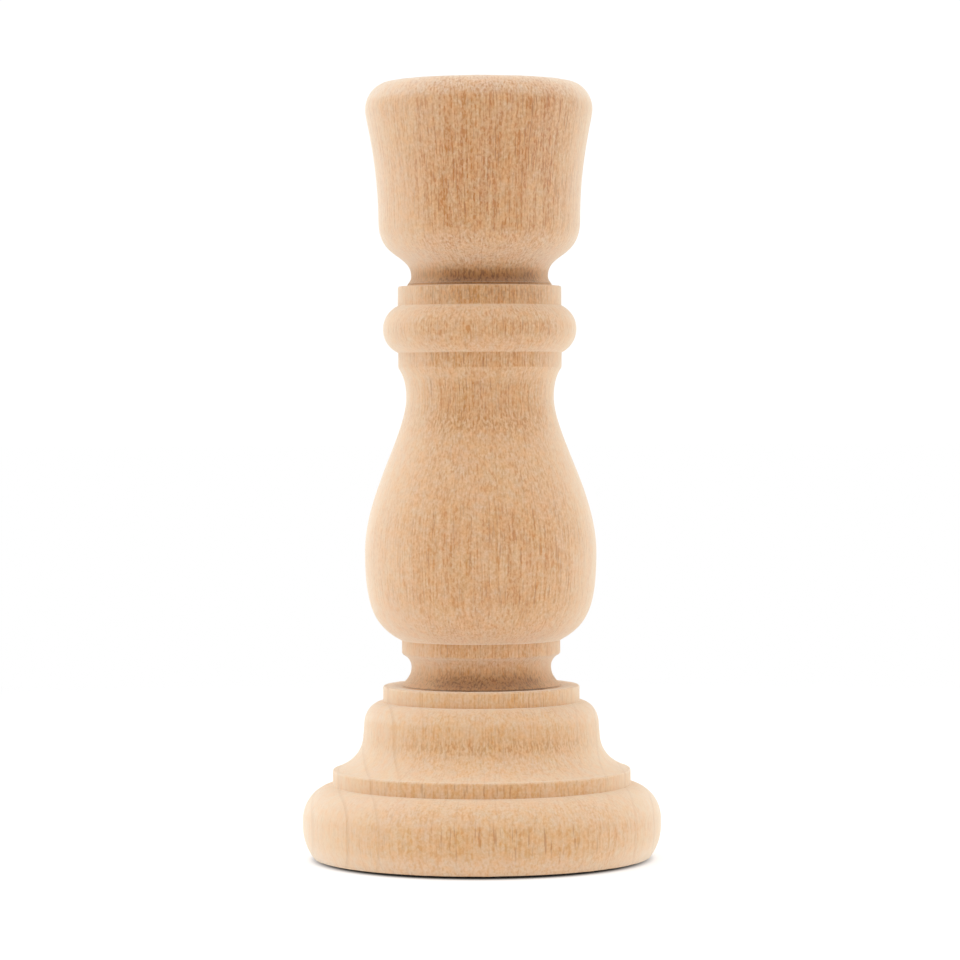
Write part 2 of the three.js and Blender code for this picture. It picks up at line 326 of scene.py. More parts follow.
woods = {  # colours are linear; a groove is (radius, level, reach, shade, dots), the first three in mm, where shade is how much painted shade and painted warm bounce light fill that inside corner and dots how much torn grain shows
    "base": {
        "offset": (0.0, 0.0, 0.0), "turn": (0.0, 0.0, 0.0),
        "ground": (0.765, 0.505, 0.285, 1), "pale": (0.80, 0.575, 0.38, 1),
        "streak": (0.57, 0.215, 0.02, 1), "gold": (0.64, 0.28, 0.035, 1),
        "upPaleAndLit": 0.35, "ringShow": 0.42, "edge": (0.98, 0.18, 0), "figure": 0.6,
        "rings": {"Pith X": 100.0, "Pith Y": 4.0, "Spacing": 3.3, "Wobble": 2.2},
        "grooves": [(15.5, 15.8, 2.2, 0.0, 0.55), (10.6, 22.8, 1.7, 0.9, 0.9)],
    },
    "stem": {
        "offset": (0.004, 0.011, 0.02), "turn": (0.0, 0.012, 0.5),
        "ground": (0.775, 0.505, 0.285, 1), "pale": (0.76, 0.49, 0.28, 1),
        "streak": (0.48, 0.145, 0.008, 1), "gold": (0.56, 0.21, 0.018, 1),
        "upPaleAndLit": 0.12, "ringShow": 0.05, "edge": (0.99, 0.12, 0), "figure": 0.92,
        "rings": {"Pith X": 90.0, "Pith Y": -20.0, "Spacing": 3.6, "Wobble": 2.0},
        "grooves": [
            (9.4, 23.3, 2.7, 0.75, 0.95), (10.2, 57.4, 3.6, 0.0, 0.75),
            (9.7, 75.1, 1.1, 0.85, 0.6), (10.7, 73.8, 2.2, 0.13, 0.3),
        ],
    },
    "cup": {
        "offset": (-0.006, 0.003, 0.05), "turn": (0.01, 0.0, -0.3),
        "ground": (0.77, 0.49, 0.265, 1), "pale": (0.78, 0.55, 0.36, 1),
        "streak": (0.43, 0.11, 0.004, 1), "gold": (0.51, 0.17, 0.01, 1),
        "upPaleAndLit": 0.95, "ringShow": 0.05, "edge": (0.98, 0.18, 0), "figure": 1.05,
        "rings": {"Pith X": 90.0, "Pith Y": 25.0, "Spacing": 3.6, "Wobble": 2.0},
        "grooves": [(9.1, 75.7, 2.6, 0.75, 0.95)],
    },
}
woodGrain = {  # what every turning shares; sizes in mm
    "lines": {"Width": 0.25, "Length": 7.0, "Cover": 0.46, "Softness": 0.1, "Detail": 1.0, "Follow": 1.0},
    "flecks": {"Width": 0.25, "Length": 0.62, "Cover": 0.42, "Softness": 0.09, "Detail": 2.0, "Follow": 1.0},
    "pores": {"Width": 0.19, "Length": 3.2, "Cover": 0.15, "Softness": 0.05, "Detail": 1.0, "Follow": 1.0},
    "dots": {"Width": 0.27, "Length": 5.0, "Cover": 0.46, "Softness": 0.08, "Detail": 2.0},
    "stripes": {"Width": 2.0, "Length": 70.0, "Cover": 0.5, "Softness": 0.22, "Detail": 2.0},
    "tornDots": {"Width": 0.26, "Length": 0.75, "Cover": 0.4, "Softness": 0.09, "Detail": 2.0},
}
woodClouds = {
    "speckle": {"Size": 0.3, "Contrast": 3.6}, "tints": {"Size": 1.1, "Contrast": 2.6},
    "blushes": {"Size": 3.4, "Contrast": 2.2}, "patches": {"Size": 8.0, "Contrast": 1.5},
}
woodTones = {
    "pore": (0.33, 0.09, 0.008, 1), "speck": (0.52, 0.22, 0.04, 1), "ring": (0.52, 0.26, 0.10, 1),
    # the next two are painted warm bounce light and dark painted corner shade mixed with torn grain
    "paintedBounce": (0.62, 0.29, 0.08, 1), "tornAndShade": (0.24, 0.075, 0.003, 1),
    "ragged": (0.17, 0.05, 0.001, 1), "plucked": (0.47, 0.17, 0.012, 1),
    "blush": (1.0, 0.93, 1.04, 1), "honey": (1.022, 0.951, 0.84, 1), "straw": (0.978, 1.049, 1.16, 1),
}
# a layer is (mask, share in calm wood, share in busy wood, tone), and one without a mask covers all
woodLayers = [
    (None, 0.0, 0.15, "streak"), ("broken", 0.6, 1.0, "streak"), ("flecks", 0.18, 0.6, "streak"),
    ("pores", 0.2, 0.95, "pore"), ("speckle", 0.36, 0.46, "speck"),
]
woodMake = {
    "underPaleAndLit": 0.4, "blushed": 0.5,  # how pale undersides are, partly cut grain and partly painted light bounced up from the floor, and how strong the blushes are
    "quarterFigure": 0.4,  # what the quartered sides keep of the figure
    "openRings": 0.1,  # what the open sides keep of the rings
    "calmSlopes": 0.2, "patchShare": 0.75, "stripeShare": 0.25, "lineBetweenFlecks": 0.4,
    # the next two set what the quartered sides keep of the painted corner shade and torn grain, and how
    # narrow the darkest painted shade is
    "quarterTearAndShade": 0.35, "tearAndShadeFalloff": 1.5,
    "roughness": (0.72, 0.84), "streakDent": -0.5, "poreDent": -1.0, "bump": 0.35, "bumpDepth": 0.04,
    "specular": 0.25, "sheen": 1.0, "sheenRoughness": 0.6, "sheenTint": (1, 0.96, 0.85, 1),
}


def bareWood(name, values):
    w = woodMake
    material, tree, surface, place = startMaterial(name)
    board = addNode(tree, "Mapping", {
        "Vector": place["Object"], "Location": values["offset"], "Rotation": values["turn"],
    }).outputs[0]
    masks = {}
    for kind, settings in woodGrain.items():
        laid = place["Object"] if "Follow" in settings else board
        masks[kind] = placeGroup(tree, grainStreaks, {"Vector": laid, **settings})["Mask"]
    for kind, settings in woodClouds.items():
        masks[kind] = placeGroup(tree, cloud, {"Vector": board, **settings})["Mask"]
    rings = placeGroup(tree, growthRings, {"Vector": board, **values["rings"]})["Line"]
    cut = placeGroup(tree, cutDirection, {"Normal": place["Normal"]})
    face = placeGroup(tree, openFace, {"Vector": place["Object"], "Edge": values["edge"]})["Mask"]
    figure = addRange(tree, face, 0.0, 1.0, w["quarterFigure"] * values["figure"], values["figure"])

    # long streaks on upright faces, dots on sloping ones
    sloping = addMath(tree, "SUBTRACT", 1.0, cut["Flank"])
    streaks = addMath(tree, "MULTIPLY", masks["lines"], cut["Flank"])
    streaks = addMath(tree, "ADD", streaks, addMath(tree, "MULTIPLY", masks["dots"], sloping))
    between = addRange(tree, masks["flecks"], 0.0, 1.0, w["lineBetweenFlecks"], 1.0)
    masks["broken"] = addMath(tree, "MULTIPLY", streaks, between)

    # faces turned up are paler partly from cut grain and partly from painted light from above, undersides
    # partly from painted light off the floor
    up = addMath(tree, "MULTIPLY", cut["Up"], values["upPaleAndLit"])
    paleAndLit = addMath(tree, "ADD", up, addMath(tree, "MULTIPLY", cut["Under"], w["underPaleAndLit"]))
    color = addMix(tree, paleAndLit, values["ground"], values["pale"])
    blushed = addMath(tree, "MULTIPLY", masks["blushes"], w["blushed"])
    color = addMix(tree, blushed, color, woodTones["blush"], "MULTIPLY")
    quarter = addRange(tree, face, 0.0, 1.0, values["ringShow"], w["openRings"] * values["ringShow"])
    color = addMix(tree, addMath(tree, "MULTIPLY", rings, quarter), color, woodTones["ring"])

    patchy = addMath(tree, "MULTIPLY", masks["patches"], w["patchShare"])
    striped = addMath(tree, "MULTIPLY", masks["stripes"], w["stripeShare"])
    upright = addRange(tree, cut["Flank"], 0.0, 1.0, w["calmSlopes"], 1.0)
    busy = addMath(tree, "MULTIPLY", addMath(tree, "ADD", patchy, striped), upright)
    tones = {**woodTones, "streak": addMix(tree, masks["stripes"], values["streak"], values["gold"])}
    for kind, low, high, tone in woodLayers:
        amount = addRange(tree, busy, 0.0, 1.0, low, high)
        amount = addMath(tree, "MULTIPLY", amount, figure)
        if kind:
            amount = addMath(tree, "MULTIPLY", amount, masks[kind])
        color = addMix(tree, amount, color, tones[tone])

    # painted shade and painted warm bounce light in each inside corner, partly torn grain, with torn-grain
    # flecks on top
    for radius, level, reach, cornerShade, dots in values["grooves"]:
        spot = {"Vector": place["Object"], "Radius": radius, "Level": level, "Reach": reach}
        band = placeGroup(tree, groove, spot)["Mask"]
        color = addMix(tree, addMath(tree, "MULTIPLY", band, cornerShade), color, tones["paintedBounce"])
        band = addMath(tree, "MULTIPLY", band, addRange(tree, face, 0.0, 1.0, w["quarterTearAndShade"], 1.0))
        deep = addMath(tree, "POWER", band, w["tearAndShadeFalloff"])
        color = addMix(tree, addMath(tree, "MULTIPLY", deep, cornerShade), color, tones["tornAndShade"])
        ragged = addMath(tree, "MULTIPLY", addMath(tree, "MULTIPLY", masks["tornDots"], band), dots)
        color = addMix(tree, ragged, color, tones["ragged" if cornerShade else "plucked"])

    tint = addMix(tree, masks["tints"], tones["straw"], tones["honey"])
    color = addMix(tree, 1.0, color, tint, "MULTIPLY")
    tree.links.new(color, surface.inputs["Base Color"])
    tree.links.new(addRange(tree, streaks, 0.0, 1.0, *w["roughness"]), surface.inputs["Roughness"])
    surface.inputs["Specular IOR Level"].default_value = w["specular"]
    surface.inputs["Sheen Weight"].default_value = w["sheen"]
    surface.inputs["Sheen Roughness"].default_value = w["sheenRoughness"]
    surface.inputs["Sheen Tint"].default_value = w["sheenTint"]
    dented = addMath(tree, "MULTIPLY", streaks, w["streakDent"])
    relief = addMath(tree, "ADD", dented, addMath(tree, "MULTIPLY", masks["pores"], w["poreDent"]))
    addRelief(tree, surface, relief, w["bump"], w["bumpDepth"])
    return material


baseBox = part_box("stepped_base")
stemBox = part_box("baluster_stem")
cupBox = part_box("candle_cup")
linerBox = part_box("cup_liner")
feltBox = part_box("felt_pad")
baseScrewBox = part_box("base_screw")
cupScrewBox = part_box("cup_screw")

base = {
    "radius": baseBox[1].x / mm, "foot": baseBox[0].z / mm, "top": baseBox[1].z / mm,
    "footStep": 1.35, "swell": 4.4, "land": 0.95, "crown": 4.55,
    "filletRadius": 19.55, "filletHeight": 2.0, "filletLand": 0.3, "coveRadius": 15.52,
    "shoulderRadius": 15.41, "shoulderLand": 1.27, "shoulderHigh": 3.04,
    "ledgeRadius": 12.9, "ledgeHeight": 2.08,
    "relief": 0.13, "reliefWidth": 1.2, "reliefToe": 0.1,  # a shallow dip in the ledge round the stem
    "soft": 0.32, "steps": 240, "fineness": 0.5, "uneven": 0.05,
}
joints = {  # how the turnings, screws and liner meet; what lies within kept of the seam isn't sanded
    "tenon": 6.35, "gap": 0.15, "feltGap": 0.3, "screwHole": 2.4, "counterbore": 4.7,
    "tenonLength": (baseBox[1].z - stemBox[0].z) / mm, "spigot": 4.76,
    "seam": stemBox[1].z / mm, "seamRadius": 9.4, "seamSoft": 0.03, "kept": 0.02,
    "spare": 0.4, "linerGap": 0.6,
}


def shapeBase():
    b = base  # the foot swells out, then come torus, fillet, cove, shoulder and ledge
    swellRise = b["swell"] - b["foot"]
    swellRound = (swellRise ** 2 + b["footStep"] ** 2) / (2 * b["footStep"])
    swellAngle = math.asin(swellRise / swellRound)
    torusTop = b["swell"] + b["land"]
    crownAngle = math.acos(1 - (b["radius"] - b["filletRadius"]) / b["crown"])
    filletFoot = torusTop + b["crown"] * math.sin(crownAngle)
    filletTop = filletFoot + b["filletHeight"]
    ledgeFoot = b["top"] - b["ledgeHeight"]
    shoulderFoot = ledgeFoot - b["shoulderHigh"]
    coveTop = shoulderFoot - b["shoulderLand"]
    coveFoot = corner(b["filletRadius"] - b["filletLand"], filletTop)
    shoulderWide = b["shoulderRadius"] - b["ledgeRadius"]
    feltTop = feltBox[1].z / mm
    headSeat = baseScrewBox[1].z / mm - screw["length"]
    seat = stem["neckFoot"]
    mortise = joints["tenon"] + joints["gap"]
    mortiseFloor = b["top"] - joints["tenonLength"] - joints["spare"]
    recess = feltBox[1].x / mm + joints["feltGap"]
    return joinRuns(
        [corner(joints["screwHole"], headSeat), corner(joints["counterbore"], headSeat, 0.2)],
        [corner(joints["counterbore"], feltTop, 0.25), corner(recess, feltTop, 0.12)],
        [corner(recess, b["foot"], 0.15)],
        arcRun(b["radius"] - swellRound, b["swell"], swellRound, swellRound, -swellAngle, 0, 14),
        arcRun(b["radius"] - b["crown"], torusTop, b["crown"], b["crown"], 0, crownAngle, 22),
        [corner(b["filletRadius"], filletFoot, 0.12), corner(b["filletRadius"], filletTop, b["soft"])],
        sweepRun(coveFoot, corner(b["coveRadius"], coveTop), (0.69, 0.22), (0.03, 0.47), 20),
        arcRun(b["ledgeRadius"], shoulderFoot, shoulderWide, b["shoulderHigh"], 0, quarterTurn, 20),
        [corner(b["ledgeRadius"], ledgeFoot, 0.1), corner(b["ledgeRadius"], b["top"], b["soft"])],
        [corner(seat + b["reliefWidth"], b["top"], 0.1)],
        [corner(seat + b["reliefToe"], b["top"] - b["relief"])],
        [corner(seat, b["top"]), corner(mortise, b["top"], 0.2)],
        [corner(mortise, mortiseFloor, 0.2), corner(joints["screwHole"], mortiseFloor)],
    )


stem = {
    "neckFoot": 10.45, "neck": 9.15, "neckLower": 2.42, "neckUpper": 1.6,
    "fillet": 10.4, "filletHeight": 1.88, "filletCut": 0.2,
    "vase": stemBox[1].x / mm, "swell": 11.55, "waist": 9.68, "flare": 3.77,
    "collar": 10.72, "lowerCollar": 1.94, "bead": 12.68, "beadHeight": 6.17,
    "upperCollar": 2.53, "seamRise": 0.3, "seamFlare": 0.15,
    "soft": 0.25, "steps": 216, "fineness": 0.5, "uneven": 0.05,
}


def shapeStem():
    s = stem
    foot = baseBox[1].z / mm
    neckLevel = foot + s["neckLower"]
    neckTop = neckLevel + s["neckUpper"]
    vaseFoot = neckTop + s["filletHeight"]
    vaseLevel = vaseFoot + s["swell"]
    collarTop = joints["seam"] - s["seamRise"]
    beadTop = collarTop - s["upperCollar"]
    beadFoot = beadTop - s["beadHeight"]
    collarFoot = beadFoot - s["lowerCollar"]
    waistLevel = collarFoot - s["flare"]
    beadRise = s["beadHeight"] / 2
    beadStep = s["bead"] - s["collar"]
    beadRound = (beadStep ** 2 + beadRise ** 2) / (2 * beadStep)
    beadAngle = math.asin(beadRise / beadRound)
    beadMiddle = s["bead"] - beadRound
    tenonFoot = stemBox[0].z / mm
    pilotFoot = baseScrewBox[1].z / mm + joints["spare"]
    socket = joints["spigot"] + joints["gap"]
    socketFloor = cupBox[0].z / mm - joints["spare"]
    pilotTop = cupScrewBox[0].z / mm - joints["spare"]
    hole = joints["screwHole"]
    filletFoot = corner(s["fillet"] - s["filletCut"], neckTop)
    neckWaist = corner(s["neck"], neckLevel)
    swell = corner(s["vase"], vaseLevel)
    waist = corner(s["waist"], waistLevel)
    return joinRuns(
        [corner(0, pilotFoot + hole / 2), corner(hole, pilotFoot), corner(hole, tenonFoot, 0.2)],
        [corner(joints["tenon"], tenonFoot, 0.4), corner(joints["tenon"], foot)],
        sweepRun(corner(s["neckFoot"], foot, 0.1), neckWaist, (0.38, 0.25), (0, 0.5), 10),
        sweepRun(neckWaist, filletFoot, (0, 0.5), (0.5, 0.15), 10),
        [corner(s["fillet"], neckTop + s["filletCut"], 0.1), corner(s["fillet"], vaseFoot, 0.08)],
        sweepRun(corner(s["fillet"] + 0.05, vaseFoot), swell, (0.676, 0.15), (0, 0.67), 26),
        sweepRun(swell, waist, (0, 0.375), (0, 0.245), 30),
        sweepRun(waist, corner(s["collar"], collarFoot, 0.15), (0, 0.5), (0.5, 0.2), 10),
        [corner(s["collar"], beadFoot, 0.06)],
        arcRun(beadMiddle, beadFoot + beadRise, beadRound, beadRound, -beadAngle, beadAngle, 26)[1:-1],
        [corner(s["collar"], beadTop, 0.06), corner(s["collar"], collarTop, s["soft"])],
        [corner(joints["seamRadius"] + s["seamFlare"], collarTop, 0.08)],
        [corner(joints["seamRadius"], joints["seam"], joints["seamSoft"])],
        [corner(socket, joints["seam"], 0.15)],
        [corner(socket, socketFloor, 0.15), corner(hole, socketFloor)],
        [corner(hole, pilotTop), corner(0, pilotTop - hole / 2)],
    )


cup = {
    "bore": 11.1, "boreFloor": linerBox[0].z / mm - joints["linerGap"], "neck": 8.97, "neckHeight": 1.0,
    "bowl": 13.22, "bowlHeight": 7.22, "wallHeight": 14.51,
    "lip": cupBox[1].x / mm, "lipRound": 3.18, "top": cupBox[1].z / mm,
    "rebate": 11.9, "rebateDepth": 0.55, "rimLand": 0.15, "steps": 216, "fineness": 0.5, "uneven": 0.05,
}


def shapeCup():
    c = cup
    seam = joints["seam"]
    neckLevel = seam + c["neckHeight"]
    bowlTop = neckLevel + c["bowlHeight"]
    lipLevel = bowlTop + c["wallHeight"]
    spigotFoot = cupBox[0].z / mm
    headSeat = cupScrewBox[0].z / mm + screw["length"]
    lip = arcRun(c["lip"] - c["lipRound"], lipLevel, c["lipRound"], c["top"] - lipLevel, 0, quarterTurn, 24)
    cupFoot = corner(joints["seamRadius"], seam, joints["seamSoft"])
    neck = corner(c["neck"], neckLevel)
    bowl = corner(c["bowl"], bowlTop)
    return joinRuns(
        [corner(joints["screwHole"], spigotFoot), corner(joints["spigot"], spigotFoot, 0.3)],
        [corner(joints["spigot"], seam)],
        sweepRun(cupFoot, neck, (0.38, 0.25), (0, 0.5), 6),
        sweepRun(neck, bowl, (0, 0.414), (0, 0.695), 26),
        sweepRun(bowl, corner(c["lip"], lipLevel), (0, 0.533), (0, 0.093), 30),
        [point for point in lip if point[0] > c["rebate"] + c["rimLand"]],
        [corner(c["rebate"], c["top"], 0.1), corner(c["rebate"], c["top"] - c["rebateDepth"], 0.05)],
        [corner(c["bore"], c["top"] - c["rebateDepth"], 0.15), corner(c["bore"], c["boreFloor"], 0.4)],
        [corner(joints["counterbore"], c["boreFloor"], 0.2), corner(joints["counterbore"], headSeat, 0.1)],
        [corner(joints["screwHole"], headSeat)],
    )


brassSheet = {
    "sheet": 0.4, "outer": 10.85, "corner": 1.2, "flangeEdge": 0.12, "mouthSoft": 0.2,
    "steps": 180, "fineness": 0.5,
    "color": (0.78, 0.53, 0.21, 1), "dull": (0.52, 0.33, 0.13, 1), "roughness": (0.22, 0.42),
    "stains": {"Size": 4.0, "Contrast": 2.4}, "stained": 0.4, "stainShare": 0.6,
    "markSpacing": 0.15, "bump": 0.4, "bumpDepth": 0.008,
}


def shapeLiner():
    b = brassSheet
    foot, top = linerBox[0].z / mm, linerBox[1].z / mm
    flange = linerBox[1].x / mm
    inner = b["outer"] - b["sheet"]
    bend = b["outer"] - b["corner"]
    inside = b["corner"] - b["sheet"]
    return joinRuns(
        [corner(0, foot)],
        arcRun(bend, foot + b["corner"], b["corner"], b["corner"], -quarterTurn, 0, 8),
        [corner(b["outer"], top - b["sheet"], 0.1)],
        [corner(flange, top - b["sheet"], b["flangeEdge"]), corner(flange, top, b["flangeEdge"])],
        [corner(inner, top, b["mouthSoft"])],
        arcRun(bend, foot + b["corner"], inside, inside, 0, -quarterTurn, 8),
        [corner(0, foot + b["sheet"])],
    )


def spunMarksGroup():  # fine rings left by spinning or turning metal, spacing in mm
    group, given, out = startGroup("spunMarks", {"Vector": None, "Spacing": 0.15}, ["Mask"])
    parts = addNode(group, "SeparateXYZ", {0: given["Vector"]}).outputs
    flat = addNode(group, "CombineXYZ", {0: parts["X"], 1: parts["Y"]}).outputs[0]
    far = addNode(group, "VectorMath", {0: flat}, operation="LENGTH").outputs["Value"]
    across = addMath(group, "DIVIDE", 1 / mm, given["Spacing"])
    outward = addMath(group, "MULTIPLY", far, across)
    upward = addMath(group, "MULTIPLY", parts["Z"], across)
    place = addNode(group, "CombineXYZ", {0: outward, 2: upward}).outputs[0]
    marks = addNode(group, "TexNoise", {"Vector": place, "Scale": 1.0, "Detail": 2.0}).outputs["Fac"]
    group.links.new(addRange(group, marks, 0.3, 0.7), out["Mask"])
    return group


spunMarks = spunMarksGroup()


def spunBrass():
    b = brassSheet
    material, tree, surface, place = startMaterial("spunBrass")
    marks = placeGroup(tree, spunMarks, {"Vector": place["Object"], "Spacing": b["markSpacing"]})["Mask"]
    stains = placeGroup(tree, cloud, {"Vector": place["Object"], **b["stains"]})["Mask"]
    color = addMix(tree, addMath(tree, "MULTIPLY", stains, b["stained"]), b["color"], b["dull"])
    tree.links.new(color, surface.inputs["Base Color"])
    marked = addMath(tree, "MULTIPLY", marks, 1.0 - b["stainShare"])
    worn = addMath(tree, "ADD", addMath(tree, "MULTIPLY", stains, b["stainShare"]), marked)
    tree.links.new(addRange(tree, worn, 0.0, 1.0, *b["roughness"]), surface.inputs["Roughness"])
    surface.inputs["Metallic"].default_value = 1.0
    addRelief(tree, surface, marks, b["bump"], b["bumpDepth"])
    return material


screw = {  # a pan-head wood screw, the same in both places
    "length": 20.0, "shank": 1.9, "root": 1.45, "thread": 2.08, "pitch": 1.8, "flank": 0.55,
    "threaded": 11.0, "point": 3.0, "head": 3.9, "headRim": 0.6, "headHeight": 2.35,
    "crossWidth": 1.0, "crossReach": 2.1, "crossDepth": 1.3, "crossTaper": 0.7,
    "runIn": 0.8, "thinnest": 0.05, "steps": 60, "fineness": 0.16, "creaseAngle": 26,
    "color": (0.62, 0.63, 0.65, 1), "passivated": (0.55, 0.52, 0.44, 1), "roughness": (0.24, 0.45),
    "stains": {"Size": 1.6, "Contrast": 2.2}, "stained": 0.6,
    "markSpacing": 0.08, "bump": 0.3, "bumpDepth": 0.006,
}


def shapeBlank():  # head up on its seat at level 0, point down
    s = screw
    pointTop = s["point"] - s["length"]
    threadTop = pointTop + s["threaded"]
    return joinRuns(
        [corner(0, -s["length"]), corner(s["root"], pointTop), corner(s["root"], threadTop)],
        [corner(s["shank"], threadTop + s["runIn"], 0.2), corner(s["shank"], 0, 0.2)],
        [corner(s["head"], 0, 0.12)],
        arcRun(0, s["headRim"], s["head"], s["headHeight"] - s["headRim"], 0, quarterTurn, 14),
    )


def cutThread(blank):
    s = screw
    span = s["point"] + s["threaded"]
    for v in blank.verts:
        radius = math.hypot(v.co.x, v.co.y) / mm
        level = v.co.z / mm + s["length"]
        if radius < s["thinnest"] or level > span:
            continue
        turns = level / s["pitch"] - math.atan2(v.co.y, v.co.x) / math.tau
        ridge = max(0.0, 1.0 - abs(turns % 1.0 - 0.5) * s["pitch"] / s["flank"])
        runOut = min(1.0, level / s["point"], (span - level) / s["pitch"])
        grown = 1 + (s["thread"] - s["root"]) * ridge * runOut / radius
        v.co.x *= grown
        v.co.y *= grown


def crossCutter():  # two crossed bars that narrow towards the bottom of the recess
    s = screw
    shape = bmesh.new()
    for turn in (0.0, quarterTurn):
        bar = bmesh.ops.create_cube(shape, size=mm)["verts"]
        bmesh.ops.scale(shape, vec=(2 * s["crossReach"], s["crossWidth"], 2 * s["crossDepth"]), verts=bar)
        lower = [v for v in bar if v.co.z < 0]
        bmesh.ops.scale(shape, vec=(s["crossTaper"], s["crossTaper"], 1), verts=lower)
        bmesh.ops.rotate(shape, verts=bar, matrix=Matrix.Rotation(turn, 3, "Z"))
        bmesh.ops.translate(shape, verts=bar, vec=(0, 0, s["headHeight"] * mm))
    return shape


def cutAway(blank, cutter):
    holders = []
    for name, shape in (("blank", blank), ("cutter", cutter)):
        mesh = bpy.data.meshes.new(name)
        shape.to_mesh(mesh)
        shape.free()
        holders.append(bpy.data.objects.new(name, mesh))
        bpy.context.scene.collection.objects.link(holders[-1])
    cut = holders[0].modifiers.new("cut", "BOOLEAN")
    cut.object = holders[1]
    cut.operation = "DIFFERENCE"
    cut.solver = "EXACT"
    cut.use_self = True
    result = bmesh.new()
    result.from_mesh(holders[0].evaluated_get(bpy.context.evaluated_depsgraph_get()).data)
    for holder in holders:
        bpy.data.objects.remove(holder)
    return result


def makeScrew(name, node, seat, headUp, material):
    blank = turnOutline(shapeBlank(), False, screw["steps"], screw["fineness"])
    cutThread(blank)
    shape = cutAway(blank, crossCutter())
    if not headUp:
        bmesh.ops.rotate(shape, verts=shape.verts[:], matrix=Matrix.Rotation(math.pi, 3, "X"))
    bmesh.ops.translate(shape, verts=shape.verts[:], vec=(0, 0, seat))
    return finishPiece(name, shape, "candlestick", node, material, screw["creaseAngle"])


def zincPlate():
    s = screw
    material, tree, surface, place = startMaterial("zincPlate")
    stains = placeGroup(tree, cloud, {"Vector": place["Object"], **s["stains"]})["Mask"]
    marks = placeGroup(tree, spunMarks, {"Vector": place["Object"], "Spacing": s["markSpacing"]})["Mask"]
    color = addMix(tree, addMath(tree, "MULTIPLY", stains, s["stained"]), s["color"], s["passivated"])
    tree.links.new(color, surface.inputs["Base Color"])
    tree.links.new(addRange(tree, stains, 0.0, 1.0, *s["roughness"]), surface.inputs["Roughness"])
    surface.inputs["Metallic"].default_value = 1.0
    addRelief(tree, surface, marks, s["bump"], s["bumpDepth"])
    return material


felt = {
    "edge": 0.2, "steps": 200, "fineness": 0.6, "pressed": 0.06, "lumpSize": 0.9,
    "fibre": 0.35, "tangled": 2.2, "tangleShare": 0.7, "clumps": {"Size": 2.4, "Contrast": 1.8},
    "dark": (0.022, 0.018, 0.016, 1), "light": (0.075, 0.064, 0.056, 1), "bump": 0.8, "bumpDepth": 0.15,
    "specular": 0.1, "sheen": 0.5, "sheenRoughness": 0.45,
}


def shapeFelt():
    radius, foot, top = feltBox[1].x / mm, feltBox[0].z / mm, feltBox[1].z / mm
    edge = felt["edge"]
    return [corner(0, foot), corner(radius, foot, edge), corner(radius, top, edge), corner(0, top)]


def woolFelt():
    f = felt
    material, tree, surface, place = startMaterial("woolFelt")
    fibres = addNode(tree, "TexNoise", {
        "Vector": place["Object"], "Scale": 1 / (f["fibre"] * mm), "Detail": 4.0, "Distortion": f["tangled"],
    }).outputs["Fac"]
    tangle = addRange(tree, fibres, 0.36, 0.64)
    clumps = placeGroup(tree, cloud, {"Vector": place["Object"], **f["clumps"]})["Mask"]
    clumped = addMath(tree, "MULTIPLY", clumps, 1.0 - f["tangleShare"])
    shade = addMath(tree, "ADD", addMath(tree, "MULTIPLY", tangle, f["tangleShare"]), clumped)
    tree.links.new(addMix(tree, shade, f["dark"], f["light"]), surface.inputs["Base Color"])
    surface.inputs["Roughness"].default_value = 1.0
    surface.inputs["Specular IOR Level"].default_value = f["specular"]
    surface.inputs["Sheen Weight"].default_value = f["sheen"]
    surface.inputs["Sheen Roughness"].default_value = f["sheenRoughness"]
    addRelief(tree, surface, shade, f["bump"], f["bumpDepth"])
    return material


turnings = (  # the stem's outline is open, because it runs from axis to axis
    ("turnedBase", shapeBase, base, "stepped_base", "base", True),
    ("turnedStem", shapeStem, stem, "baluster_stem", "stem", False),
    ("turnedCup", shapeCup, cup, "candle_cup", "cup", True),
)
for name, outline, values, node, wood, closed in turnings:
    turning = turnOutline(outline(), closed, values["steps"], values["fineness"])
    sandUneven(turning, values["uneven"], sanding["dipSize"])
    finishPiece(name, turning, "candlestick", node, bareWood(wood + "Wood", woods[wood]))

linerCup = turnOutline(shapeLiner(), False, brassSheet["steps"], brassSheet["fineness"])
finishPiece("linerCup", linerCup, "liner", "cup_liner", spunBrass())

plating = zincPlate()
makeScrew("cupScrew", "cup_screw", cupScrewBox[0].z + screw["length"] * mm, True, plating)
makeScrew("baseScrew", "base_screw", baseScrewBox[1].z - screw["length"] * mm, False, plating)

feltShape = turnOutline(shapeFelt(), False, felt["steps"], felt["fineness"])
sandUneven(feltShape, felt["pressed"], felt["lumpSize"])
feltDisc = finishPiece("feltDisc", feltShape, "candlestick", "felt_pad", woolFelt())

studio = {
    "cameraDistance": 486.6, "cameraHeight": 60.96, "cameraTilt": 1.333, "cameraRoll": 0.26, "lens": 139.35,
    "nearest": 0.01, "wallLight": 1.22, "wallSeen": 1.05, "warmSide": (1, 0.96, 0.89, 1),
    "cameraSide": 1.0, "cameraSideFrom": (-0.35, -0.82), "cameraSideBelow": (0.62, 0.2),
    "backSide": 0.18, "backSideFrom": (0.1, 0.9), "warmFrom": (0.0, 0.9),
    "floorSize": 4.0, "floorTone": 0.46, "floorGlow": 0.64, "floorRoughness": 0.9,
    "shaded": (0.0205, 0.0233), "floorLit": 0.12, "floorWhite": 0.3,
    "topBoxPlace": (-0.14, 0.05, 0.46), "topBoxAim": (0, 0, 0.05),
    "topBoxSize": (0.4, 0.4), "topBoxPower": 0.35,
}


def placeCamera():
    s = studio
    data = bpy.data.cameras.new("camera")
    data.lens = s["lens"]
    data.clip_start = s["nearest"]
    data.dof.use_dof = False
    camera = bpy.data.objects.new("camera", data)
    camera.location = (0, -s["cameraDistance"] * mm, s["cameraHeight"] * mm)
    camera.rotation_euler = (math.radians(90 - s["cameraTilt"]), math.radians(s["cameraRoll"]), 0)
    bpy.context.scene.collection.objects.link(camera)
    bpy.context.scene.camera = camera


